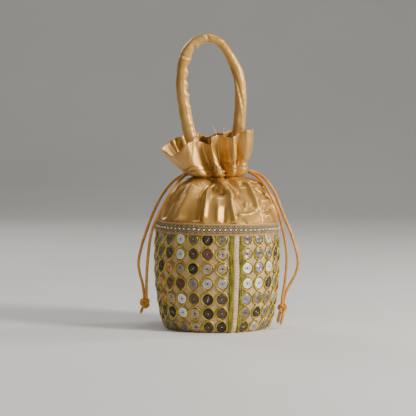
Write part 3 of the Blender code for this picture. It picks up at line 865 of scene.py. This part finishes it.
# folds drawn on the front: path, height (negative is a valley), half width, fade at each end, skew
FOLDS = [
    (view((-18.1, 145.6), (-23.6, 139.0), (-28.8, 131.2), (-34.6, 119.6), (-38.0, 106.0)), 2.6, 5.0, (3, 4), 0.0),
    (view((-25.0, 148.6), (-35.0, 140.6), (-43.4, 130.8), (-50.0, 118.4), (-53.6, 107.6)), -1.9, 3.0, (3, 6), 0.0),
    (view((-33.0, 145.0), (-40.6, 136.6), (-47.0, 126.0), (-51.0, 116.0)), 1.2, 2.0, (3, 6), 0.0),
    (view((-4.4, 148.0), (-8.6, 143.6), (-13.2, 138.0), (-16.0, 129.5), (-17.4, 117.9), (-18.2, 105.0)), -3.1, 4.2, (2, 4), -0.50),
    (view((-8.0, 146.0), (-13.0, 140.6), (-17.6, 132.6), (-19.4, 125.0)), 1.0, 1.3, (3, 6), 0.0),
    (view((-4.0, 146.0), (-8.9, 141.1), (-10.8, 132.0), (-12.4, 119.6), (-13.3, 106.0)), 2.0, 2.2, (3, 6), 0.2),
    (view((2.7, 146.4), (6.8, 142.2), (11.4, 139.6), (13.7, 133.7), (14.0, 125.4), (15.9, 114.6), (17.6, 103.8)), 2.9, 2.5, (2, 3), -0.4),
    (view((-6.5, 141.4), (-2.5, 137.2), (3.5, 134.8), (9.4, 137.0)), -3.2, 3.3, (4, 3), 0.45),
    (view((-1.5, 147.4), (0.0, 143.0), (2.6, 139.0)), -2.0, 1.9, (2, 3), 0.0),
    (view((8.5, 147.6), (12.6, 142.4), (17.0, 136.2), (21.7, 127.9)), -3.0, 2.3, (2, 5), 0.0),
    (view((17.6, 135.0), (23.6, 127.4), (29.6, 120.4)), -2.8, 4.4, (5, 4), 0.0),
    (view((17.6, 151.0), (25.9, 146.4), (31.7, 136.4), (36.7, 126.2), (37.9, 119.6), (34.2, 115.0), (25.0, 112.6), (17.6, 114.4)), 2.9, 2.6, (3, 4), 0.25),
    (view((14.0, 146.2), (20.4, 143.4), (26.4, 144.6)), -2.0, 1.9, (3, 3), 0.0),
    (view((29.4, 149.6), (35.2, 140.4), (40.2, 128.6), (43.0, 121.0)), -2.2, 2.3, (3, 5), 0.0),
    (view((34.0, 151.0), (40.8, 140.6), (45.0, 137.0), (51.0, 131.6), (55.0, 126.4)), 2.2, 2.7, (3, 5), 0.0),
    (view((38.7, 128.9), (45.8, 127.2), (54.1, 128.9)), 1.7, 1.7, (3, 3), 0.0),
    (view((40.0, 123.4), (48.3, 117.4), (55.7, 123.7)), -1.8, 1.9, (3, 3), 0.0),
    (view((40.4, 117.0), (43.0, 111.0), (44.0, 105.0)), -1.3, 1.9, (3, 3), 0.0),
    (view((48.3, 114.6), (52.4, 108.8), (54.0, 104.6)), 1.6, 1.9, (3, 3), 0.0),
    (view((2.0, 127.0), (0.4, 115.6), (1.0, 104.6)), 0.9, 2.2, (6, 2), 0.0),
    (view((7.0, 124.0), (7.0, 114.0), (6.4, 104.6)), -1.1, 1.8, (6, 2), 0.0),
    (view((24.0, 110.0), (27.0, 106.4), (30.0, 103.6)), -1.0, 2.0, (3, 2), 0.0),
]
# round the sides and back the same kind of folds fall from the neck
a = 78.0
while a < 262.0:
    lean = rng.uniform(-9, 9)
    drop = rng.uniform(105.0, 124.0)
    amp = rng.uniform(1.5, 2.6)
    FOLDS.append(([(a, 149.0), (a + lean * 0.4, 141.0), (a + lean * 0.8, 130.0), (a + lean, drop)], amp, rng.uniform(2.4, 3.8), (3, 9), rng.uniform(-0.3, 0.3)))
    va = a + rng.uniform(5.5, 8.0)
    FOLDS.append(([(va, 149.0), (va + lean * 0.5, 139.0), (va + lean, rng.uniform(116.0, 130.0))], -rng.uniform(1.6, 2.7), rng.uniform(2.0, 3.0), (2, 9), 0.0))
    a += rng.uniform(12.5, 18.5)
for a, drop in ((-70, 118.0), (-58, 126.0), (-41, 134.0), (-8, 138.0), (58, 134.0), (70, 120.0)):
    FOLDS.append(([(a, 148.6), (a - 1.5, 141.0), (a - 2.5, drop)], 1.3, 2.4, (2, 8), 0.0))

rows_pos = []
# skirt, hem to cinch
for z0, r0 in SKIRT[::-1]:
    f = np.clip((CINCH - z0) / 22.0, 0.0, 1.0)
    f = f * f * (3 - 2 * f)
    deg = neck_deg * (1 - f) + hem_deg * f
    r = np.full(NC, r0)
    g = float(np.interp(z0, [118.0, 128.0, 136.0, 141.0, 145.4, 148.2, 150.0, 151.0], [0.0, 0.08, 0.22, 0.42, 0.74, 0.98, 1.0, 0.85]))
    r = r + (neck_r - 26.8) * g                                               # the gathers run out below the cinch
    d = np.zeros(NC)
    for path, amp, width, ends, skew in FOLDS:
        d += fold_field(deg, np.full(NC, z0), r0, path, amp, width, ends, skew)
    small = 0.30 * np.sin(np.radians(deg) * 23 + 0.12 * z0) * np.sin(np.radians(deg) * 9 - 0.09 * z0 + 1.0)
    hem = np.clip((z0 - 102.8) / 6.0, 0.0, 1.0)
    d = (d + small) * (0.25 + 0.75 * hem)
    r = r + d
    th = np.radians(deg)
    tilt = -1.4 * np.sin(th) * np.clip((112.0 - z0) / 9.0, 0, 1)
    rows_pos.append(np.stack([r * np.sin(th) + skirt_shift(z0), -r * np.cos(th), z0 + tilt + 0.25 * d], -1))
# cinch, channel, sewn line and ruffle: each pleat runs straight from the cinch to the rim
th = np.radians(neck_deg)
foot = np.stack([neck_r * np.sin(th), -neck_r * np.cos(th), np.full(NC, 151.2)], -1)
side_gap = np.exp(-((neck_deg - 82.0) / 26.0) ** 2)
ridge = (neck_r - 25.5) / 4.0
CHANNEL_F = [0.006, 0.020, 0.045, 0.075, 0.105, 0.135, 0.160, 0.182, 0.198, 0.208, 0.222]
CHANNEL_PULL = [0.78, 0.89, 0.975, 1.01, 1.015, 1.01, 1.005, 0.995, 0.980, 0.978, 0.995]
rise = list(zip(CHANNEL_F, CHANNEL_PULL)) + [(v, 1.0) for v in np.linspace(0.25, 0.985, 25)] + [(1.0, 1.0)]
for v, pull in rise:
    pos = foot * (1 - v) + rim_xyz * v
    out = pos[:, :2] - np.array([-10.0 * v, 0.0])
    size = np.linalg.norm(out, axis=1)[:, None]
    out = out / size
    swell = 1.9 * math.sin(math.pi * v ** 0.8) * np.clip(ridge, -1.6, 1.2)
    waist = -2.4 * np.exp(-((pos[:, 2] - 167.0) / 6.0) ** 2) * side_gap
    fine = 0.14 * math.sin(math.pi * v) * np.sin(th * 23 + 3.0 * v)
    pos = pos.copy()
    pos[:, :2] += out * (swell + fine + waist + (pull - 1.0) * 28.0 + (0.3 if 0.9 < v < 0.99 else 0.0))[:, None]
    pos[:, 2] += 0.25 * v * np.sin(th * 13 + 1.0)
    rows_pos.append(pos)
grid = np.stack(rows_pos)
NR = len(rows_pos)

b = Build()
b.add(grid.reshape(-1, 3), [grid_quads(NR, NC, True)])
crown = b.object("satin_crown", [SATIN])
CROWN_GRID = grid


def relax_crown(ob):
    """Lets the sheet settle as cloth: a little slack buckles into soft creases between the sewn lines."""
    me = ob.data
    start = np.zeros(len(me.vertices) * 3, np.float32)
    me.vertices.foreach_get("co", start)
    start = start.reshape(-1, 3)
    weights = np.zeros((NR, NC))
    n_skirt = len(SKIRT)
    weights[:3] = 1.0
    weights[n_skirt - 3:n_skirt + 12] = 1.0
    weights[-1] = 0.35
    soft = np.linspace(0, 1, NR)
    group = ob.vertex_groups.new(name="pin")
    flat = weights.ravel()
    for i in np.nonzero(flat)[0]:
        group.add([int(i)], float(flat[i]), "REPLACE")
    cloth_mod = ob.modifiers.new("cloth", "CLOTH")
    st = cloth_mod.settings
    st.quality = 5
    st.mass = 0.12
    st.tension_stiffness = 22.0
    st.compression_stiffness = 12.0
    st.shear_stiffness = 4.0
    st.bending_stiffness = 0.35
    st.tension_damping = 8.0
    st.shrink_min = -0.022
    st.vertex_group_mass = "pin"
    st.pin_stiffness = 2.0
    st.effector_weights.gravity = 0.3
    cloth_mod.collision_settings.use_collision = False
    cloth_mod.collision_settings.use_self_collision = False
    sc = bpy.context.scene
    cloth_mod.point_cache.frame_start = 1
    cloth_mod.point_cache.frame_end = 16
    for f in range(1, 17):
        sc.frame_set(f)
    dg = bpy.context.evaluated_depsgraph_get()
    ev = ob.evaluated_get(dg).data
    end = np.zeros(len(ev.vertices) * 3, np.float32)
    ev.vertices.foreach_get("co", end)
    end = end.reshape(-1, 3)
    move = end - start
    dist = np.linalg.norm(move, axis=1)
    cap = 0.9 * MM
    move *= np.minimum(1.0, cap / np.maximum(dist, 1e-9))[:, None]
    ob.modifiers.remove(cloth_mod)
    ob.vertex_groups.clear()
    me.vertices.foreach_set("co", (start + move).astype(np.float32).ravel())
    me.update()
    sc.frame_set(1)


relax_crown(crown)
add_thickness(crown, 0.8, -1.0)
apply_modifiers(crown)
for p in crown.data.polygons:
    p.use_smooth = True
finish_piece(crown, "satin", "crown", "casing_front", "casing_back")

# the sewn line above the drawstring channel, one stitch every 2 mm
b = Build()
row = CROWN_GRID[len(SKIRT) + 9]
path = resample(row, 1.05, closed=True)
for i in range(0, len(path) - 1, 2):
    p, q = path[i], path[i + 1]
    out = np.array([p[0], p[1], 0.0]) / (np.hypot(p[0], p[1]) + 1e-9)
    d = (q - p) / (np.linalg.norm(q - p) + 1e-9)
    out = out - out.dot(d) * d
    out /= np.linalg.norm(out)
    b.add(*blob((p + q) / 2 + out * 0.15, [d, np.cross(out, d), out], (0.85, 0.28, 0.28), 6, 4))
stitches = b.object("channel_stitches", [STITCH])
finish_piece(stitches, "satin")

# ================================================================ carry loop: a stuffed satin tube with ruched inner seam
HANDLE_ROUTE = [
    (-16.8, 138.0), (-17.0, 152.0), (-19.6, 170.0), (-26.5, 190.5), (-31.0, 212.0), (-34.2, 231.0), (-35.0, 247.0),
    (-33.6, 264.0), (-29.6, 275.6), (-23.0, 284.0), (-15.0, 288.2), (-7.0, 288.6), (0.5, 286.2), (7.6, 279.5),
    (14.0, 269.0), (19.2, 258.6), (22.6, 247.0), (23.4, 231.5), (23.2, 215.0), (21.2, 196.0), (18.2, 175.0),
    (16.8, 154.0), (16.8, 138.0),
]
path = catmull([(x, 0.0, z) for x, z in HANDLE_ROUTE], 24)
path = resample(path, 0.95)
hs = np.concatenate(([0.0], np.cumsum(np.linalg.norm(np.diff(path, axis=0), axis=1))))
t, n, bn = frames_along(path, up=None)
n = np.stack([-t[:, 2], np.zeros(len(t)), t[:, 0]], -1)       # in the loop's plane, pointing outwards
bn = np.cross(t, n)
SIDES = 36
phi = np.arange(SIDES) * TAU / SIDES
side_key = np.array([138.0, 190.0, 231.0, 264.0, 276.0, 290.0])
left = path[:, 0] < np.interp(path[:, 2], [138, 290], [0, -11])
r_left = np.interp(path[:, 2], [138, 175, 196, 231, 262, 276, 288.6], [5.4, 6.0, 6.3, 5.9, 5.5, 5.3, 4.5])
r_right = np.interp(path[:, 2], [138, 175, 196, 231, 250, 268, 280, 288.6], [5.4, 5.8, 6.2, 5.8, 5.5, 4.7, 4.3, 4.5])
rad = np.where(path[:, 0] < -11.0, r_left, r_right)
rad = np.convolve(np.pad(rad, 6, mode="edge"), np.ones(13) / 13, "valid")
PH, HS = np.meshgrid(phi, hs)
R = np.repeat(rad[:, None], SIDES, 1)
s_top = hs[np.argmax(path[:, 2])]
inner = np.clip(-np.cos(PH), 0, 1)                               # 1 on the side that faces the loop's middle
leg = np.clip((s_top - HS) / 30.0, 0, 1)
R += 0.16 * np.cos(TAU * HS / 6.1 + 1.0) * inner ** 1.6 * leg
R += 0.12 * np.sin(HS * 0.42 + 2.0 * PH) + 0.07 * np.sin(HS * 0.95 - 3.0 * PH + 1.0) + 0.14 * np.sin(HS * 0.19 + PH)


def crease(at_s, centre_phi, amp, w_s, w_phi, slant=0.0):
    dphi = (PH - centre_phi + math.pi) % TAU - math.pi
    return amp * np.exp(-((HS - at_s - slant * dphi) / w_s) ** 2) * np.exp(-(dphi / w_phi) ** 2)


def s_near(x, z):
    return float(hs[np.argmin(np.hypot(path[:, 0] - x, path[:, 2] - z))])


front = -math.pi / 2 if bn[len(bn) // 2][1] > 0 else math.pi / 2
R += crease(s_near(-25.2, 281.6), math.pi, -2.4, 1.2, 0.9)
R += crease(s_near(-22.6, 284.6), math.pi, 1.6, 1.5, 0.8)
R += crease(s_near(-28.2, 278.0), math.pi, 0.6, 1.8, 0.8)
R += crease(s_near(-31.5, 270.6), front, -1.3, 0.9, 1.3)
R += crease(s_near(-32.1, 268.0), front, 0.7, 1.5, 1.2)
for zz, amp, w_s in ((270.6, 1.7, 4.6), (261.4, -1.1, 2.8), (254.2, 1.35, 2.0), (248.0, -0.8, 2.4), (242.4, 1.0, 2.2),
                     (236.8, -0.7, 2.0), (231.6, 0.9, 2.0), (225.6, -0.5, 2.0), (219.8, 0.7, 2.6), (190.0, 0.5, 3.0)):
    R += crease(s_near(-34.0, zz), math.pi, amp, w_s, 0.75)
R += crease(s_near(-9.0, 288.7), front, -0.9, 1.4, 1.1, 1.5)
R += crease(s_near(4.0, 284.0), front, -0.6, 1.6, 1.0, -2.0)
for zz in (222.5, 234.4, 245.4, 258.0):
    R += crease(s_near(-34.0, zz), math.pi + 0.62 * (1 if front > 0 else -1), -0.8, 1.3, 0.7, 1.6)
# the long seam that turns from the inside to the front down the right leg
s_a, s_b = s_near(13.5, 270.0), s_near(22.5, 212.0)
f = np.clip((HS - s_a) / (s_b - s_a), 0, 1)
seam_phi = math.pi + (front - math.pi if front > 0 else front + math.pi) * f * 1.5
dphi = (PH - seam_phi + math.pi) % TAU - math.pi
on = np.clip((HS - s_a + 6) / 8, 0, 1) * np.clip((s_b + 14 - HS) / 12, 0, 1)
R += on * (-1.35 * np.exp(-(dphi / 0.15) ** 2) + 0.65 * np.exp(-((dphi - 0.36) / 0.24) ** 2))
ring = path[:, None, :] + R[..., None] * (np.cos(PH)[..., None] * n[:, None, :] + np.sin(PH)[..., None] * bn[:, None, :])
hv = ring.reshape(-1, 3)
na = len(hv)
hv = np.concatenate([hv, path[:1], path[-1:]])
k = np.arange(SIDES)
base = (len(path) - 1) * SIDES
hq = grid_quads(len(path), SIDES, True)
b = Build()
b.add(hv, [hq, np.stack([np.full(SIDES, na), (k + 1) % SIDES, k], -1), np.stack([np.full(SIDES, na + 1), base + k, base + (k + 1) % SIDES], -1)])
handle = b.object("stuffed_loop", [HANDLE_SATIN])
finish_piece(handle, "satin", "handle")

# ================================================================ drawstrings
STRANDS = {
    "left_outer": ([(-28.6, 2.4, 153.4), (-31.2, 3.0, 153.4), (-36.0, 3.2, 151.2), (-45.0, 3.0, 144.8), (-55.4, 1.0, 131.4), (-63.8, -2.0, 114.4),
                    (-70.2, -4.0, 97.4), (-75.4, -5.0, 81.2), (-78.4, -5.5, 65.5), (-77.0, -6.5, 54.2), (-74.4, -7.5, 44.6),
                    (-73.0, -9.0, 35.0), (-72.6, -9.4, 29.5)], "drawstring_left_outer"),
    "left_inner": ([(-28.6, -2.4, 152.8), (-31.2, -3.0, 152.8), (-35.2, -9.0, 149.6), (-42.0, -17.5, 141.6), (-51.6, -22.0, 126.0), (-61.0, -22.0, 107.6),
                    (-65.6, -19.0, 93.6), (-68.2, -16.0, 76.0), (-69.8, -13.5, 57.1), (-70.4, -12.0, 44.5), (-70.4, -12.0, 36.0),
                    (-70.6, -11.6, 29.5)], "drawstring_left_inner"),
    "right_outer": ([(28.6, 2.4, 156.6), (31.2, 3.0, 156.6), (38.0, 4.0, 155.2), (46.9, 3.0, 149.8), (53.8, 1.0, 141.2), (59.2, -1.0, 131.8),
                     (66.9, -4.0, 111.6), (73.0, -6.0, 97.3), (77.4, -7.0, 84.0), (80.2, -8.0, 72.8), (80.7, -9.0, 63.6),
                     (78.4, -9.5, 54.4), (73.6, -10.0, 45.3), (69.2, -10.0, 37.0), (67.2, -10.2, 30.0), (66.4, -10.8, 23.6)], "drawstring_right_outer"),
    "right_inner": ([(28.6, -2.4, 156.0), (31.2, -3.0, 156.0), (35.9, -8.5, 154.0), (42.2, -16.5, 149.4), (48.2, -21.5, 141.6), (53.8, -23.0, 132.0),
                     (59.4, -22.0, 119.9), (62.9, -20.0, 108.8), (65.6, -18.0, 98.0), (68.0, -16.5, 86.0), (69.4, -15.5, 72.8),
                     (68.8, -15.0, 58.5), (67.0, -14.5, 43.0), (65.0, -14.0, 31.0), (64.6, -13.4, 24.0)], "drawstring_right_inner"),
}
for key, (pts, node) in STRANDS.items():
    p = resample(catmull(pts, 10), 2.2)
    cu = bpy.data.curves.new("cord_" + key, "CURVE")
    cu.dimensions = "3D"
    sp = cu.splines.new("POLY")
    sp.points.add(len(p) - 1)
    for q, c in zip(sp.points, p):
        q.co = (c[0] * MM, c[1] * MM, c[2] * MM, 1.0)
    sp.use_smooth = True
    cu.bevel_depth = 1.5 * MM
    cu.bevel_resolution = 3
    cu.use_fill_caps = True
    cu.materials.append(CORD)
    ob = bpy.data.objects.new("cord_" + key, cu)
    bpy.context.scene.collection.objects.link(ob)
    finish_piece(ob, "cord", node)

for side, node, z0 in ((-1, "drawstring_left_channel", 153.6), (1, "drawstring_right_channel", 157.0)):
    # inside the channel the cord follows the gathers
    mid = -90.0 if side < 0 else 90.0
    deg = mid + np.linspace(9.0, 351.0, 240)
    row = np.concatenate([neck_r, neck_r, neck_r])
    ang = np.concatenate([neck_deg - 360.0, neck_deg, neck_deg + 360.0])
    r = np.interp(deg, ang, row) - 3.0
    lip = np.clip(1.0 - np.minimum(deg - deg[0], deg[-1] - deg) / 14.0, 0.0, 1.0)
    r = r * (1 - lip) + 28.2 * lip
    th_c = np.radians(deg)
    p = resample(np.stack([r * np.sin(th_c), -r * np.cos(th_c), np.full_like(r, z0)], -1), 1.4)
    b = Build()
    b.add(*tube(p, 1.45, 8))
    finish_piece(b.object("cord_in_channel_%s" % ("left" if side < 0 else "right"), [CORD]), "cord", node)
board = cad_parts["base_board"]
board.data.materials.clear()
board.data.materials.append(BOARD)


def knot_piece(name, centre, scale, tilt, nodes, strands):
    """An overhand knot drawn tight in a doubled cord."""
    b = Build()
    for shift in (0.0, 1.0):
        u = np.linspace(0, TAU, 130)[:-1]
        x = np.sin(u) + 2.0 * np.sin(2 * u)
        y = np.cos(u) - 2.0 * np.cos(2 * u)
        z = -np.sin(3 * u)
        a = shift * 0.62
        p = np.stack([x * math.cos(a) - y * math.sin(a), z * 1.25 + (shift - 0.5) * 1.3, x * math.sin(a) + y * math.cos(a)], -1)
        p = p * np.array([scale[0], scale[1], scale[2]])
        ca, sa = math.cos(tilt), math.sin(tilt)
        p = np.stack([p[:, 0] * ca - p[:, 2] * sa, p[:, 1], p[:, 0] * sa + p[:, 2] * ca], -1)
        b.add(*tube(p + np.array(centre), 1.42, 10, closed=True))
    for pts in strands:
        b.add(*tube(resample(catmull(pts, 8), 0.8), 1.55, 10, taper=0.35))
        end, before = np.array(pts[-1]), np.array(pts[-2])
        d = (end - before) / np.linalg.norm(end - before)
        for i in range(9):
            ang = TAU * i / 9.0 + 0.3
            o = np.array([math.cos(ang), math.sin(ang), 0.0])
            o -= o.dot(d) * d
            tip = end + d * rng.uniform(0.5, 1.5) + o * rng.uniform(0.5, 1.4)
            tip[2] = max(tip[2], 0.6)
            b.add(*tube(catmull([end + o * 0.75 - d * 0.8, end + o * 0.95, tip], 3), 0.17, 4))
    ob = b.object(name, [CORD])
    return finish_piece(ob, "cord", *nodes)


knot_left = knot_piece("cord_knot_left", (-71.9, -10.4, 25.6), (1.32, 1.1, 1.55), 0.15, ("knot_left", "knot_left_tail"),
                       [[(-73.6, -11.3, 21.6), (-75.0, -11.9, 18.6), (-75.9, -12.4, 15.8)]])
knot_right = knot_piece("cord_knot_right", (65.2, -12.2, 20.4), (1.25, 1.1, 1.30), -0.2, ("knot_right", "knot_right_tail_a", "knot_right_tail_b"),
                        [[(63.2, -12.4, 17.6), (61.6, -12.6, 12.0), (60.6, -13.2, 6.6)], [(66.4, -14.0, 17.4), (65.0, -15.4, 11.0), (63.4, -16.2, 5.4)]])

# frayed threads that stand up from the ruffle's raw edge
b = Build()
for pts in ([(-4.6, -19.0, 202.2), (-3.2, -19.4, 199.4), (-1.6, -19.6, 196.4), (-0.6, -19.4, 193.2)],
            [(-3.4, -18.6, 197.6), (-2.2, -19.0, 196.0), (-1.0, -19.4, 194.0), (-0.2, -19.2, 192.0)],
            [(8.4, 27.5, 199.8), (7.2, 27.2, 198.2), (6.6, 27.0, 196.0), (5.6, 26.6, 193.4)],
            [(5.2, 27.0, 198.6), (6.2, 27.0, 197.2), (6.8, 26.8, 195.4), (7.6, 26.4, 193.2)],
            [(-56.8, -3.0, 180.4), (-55.6, -3.4, 179.2), (-54.2, -4.0, 178.2), (-52.4, -5.0, 177.0)],
            [(35.4, -8.0, 200.2), (34.8, -9.0, 198.8), (34.0, -10.2, 197.6), (33.0, -11.4, 196.4)]):
    b.add(*tube(resample(catmull(pts, 6), 0.7), 0.24, 5, taper=0.6))
threads = b.object("frayed_threads", [STITCH])
finish_piece(threads, "satin")

# ================================================================ floor
sweep = [(-4.0, 0.0), (0.0, 0.0), (1.6, 0.0)]
for i in range(1, 13):
    a = math.pi / 2 * i / 12
    sweep.append((1.6 + 1.2 * math.sin(a), 1.2 - 1.2 * math.cos(a)))
sweep.append((2.8, 5.0))
fv = [(x, y, z) for y, z in sweep for x in (-6.0, 6.0)]
ff = [(2 * i, 2 * i + 1, 2 * i + 3, 2 * i + 2) for i in range(len(sweep) - 1)]
me = bpy.data.meshes.new("studio_floor")
me.from_pydata(fv, [], ff)
me.shade_smooth()
floor = bpy.data.objects.new("studio_floor", me)
bpy.context.scene.collection.objects.link(floor)
m = Mat("studio_floor")
soft = m.noise(3.0, 3.0)
m.colour(m.ramp(soft, [(0.3, (0.78, 0.775, 0.765)), (0.7, (0.82, 0.815, 0.805))]))
m.const(Roughness=0.55)
floor.data.materials.append(m.mat)
